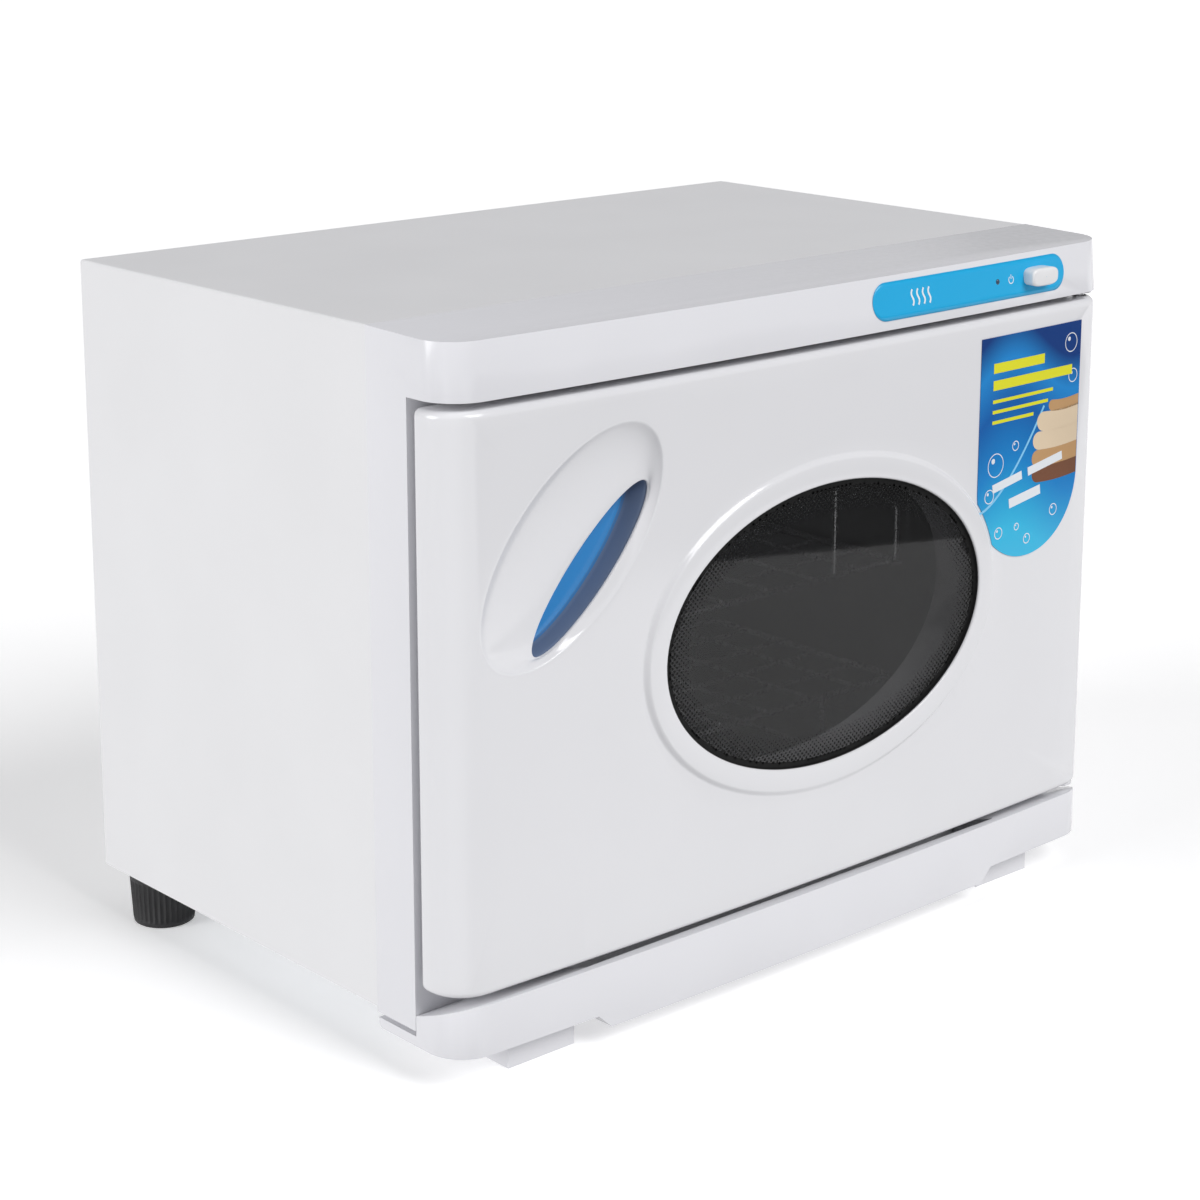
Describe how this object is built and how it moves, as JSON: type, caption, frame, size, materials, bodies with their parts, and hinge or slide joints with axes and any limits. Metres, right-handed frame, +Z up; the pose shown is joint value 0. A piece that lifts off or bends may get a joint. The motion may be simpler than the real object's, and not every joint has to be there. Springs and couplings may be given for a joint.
{
  "type": "hot towel cabinet",
  "caption": "Countertop hot towel cabinet: steel case, bowed hinged door with oval smoked window and finger cup, pull-out drip tray and wire racks in an insulated chamber.",
  "frame": {"origin": "on the ground under the middle of the cabinet's bounding box", "axes": "+Z up, +X to the right seen from the front, +Y to the back; the door faces -Y"},
  "size_m": [0.45, 0.303, 0.35],
  "materials": {
    "case_paint": "smooth white powder paint",
    "zinc_steel": "zinc-plated sheet",
    "white_moulding": "moulded white plastic",
    "door_moulding": "glossy moulded white plastic",
    "aluminium_sheet": "mill-finish sheet",
    "glass_wool": "faced glass wool",
    "silicone_mat": "silicone heating mat",
    "chrome_wire": "plated wire",
    "steel_parts": "plated steel",
    "black_plastic": "moulded black plastic",
    "black_rubber": "black rubber",
    "white_button": "glossy white plastic",
    "dark_lens": "dark lamp lens",
    "blue_label": "printed blue film",
    "smoked_glass": "smoked tempered glass with a dotted border",
    "blue_cup": "moulded blue plastic",
    "grey_seal": "soft grey seal",
    "printed_label": "printed film"
  },
  "bodies": {
    "cabinet": {"outer_case": "case_paint", "rear_cover": "case_paint", "base_plate": "zinc_steel", "front_frame": "white_moulding", "inner_liner": "aluminium_sheet", "insulation_jacket": "glass_wool", "heater_plate": "silicone_mat", "rack_rails": "aluminium_sheet", "upper_rack": "chrome_wire", "lower_rack": "chrome_wire", "thermostat": "steel_parts", "thermal_fuse": "white_moulding", "terminal_block": "black_plastic", "switch_lead": "black_rubber", "heater_lead": "black_rubber", "cord_grommet": "black_rubber", "switch_body": "black_plastic", "indicator_lens": "dark_lens", "control_label": "blue_label", "magnet_catch": "black_plastic", "upper_hinge_plate": "steel_parts", "lower_hinge_plate": "steel_parts", "hinge_pins": "steel_parts", "front_foot_left": "white_moulding", "front_foot_right": "white_moulding", "rear_foot_left": "black_rubber", "rear_foot_right": "black_rubber", "cover_screws": "steel_parts", "foot_screws": "steel_parts", "upper_hinge_screws": "steel_parts", "lower_hinge_screw": "steel_parts"},
    "door": {"door_outer_panel": "door_moulding", "door_inner_panel": "white_moulding", "window_sleeve": "white_moulding", "window_glass": "smoked_glass", "window_gasket": "black_rubber", "handle_dish": "door_moulding", "handle_cup": "blue_cup", "door_seal": "grey_seal", "door_label": "printed_label", "strike_plate": "steel_parts", "hinge_bushes": "white_moulding"},
    "tray": {"drip_tray": "white_moulding"},
    "button": {"power_button": "white_button"}
  },
  "joints": [
    {"name": "door_hinge", "type": "hinge", "parent": "cabinet", "child": "door", "pos_m": [0.21499, -0.13152, 0.182], "axis": [0, 0, 1], "range_deg": [0, 115]},
    {"name": "drip_tray_slide", "type": "slide", "parent": "cabinet", "child": "tray", "axis": [0, -1, 0], "range_m": [0, 0.065]},
    {"name": "power_button_push", "type": "slide", "parent": "cabinet", "child": "button", "axis": [0, 1, 0], "range_m": [0, 0.003], "stiffness_N_per_m": 400}
  ]
}
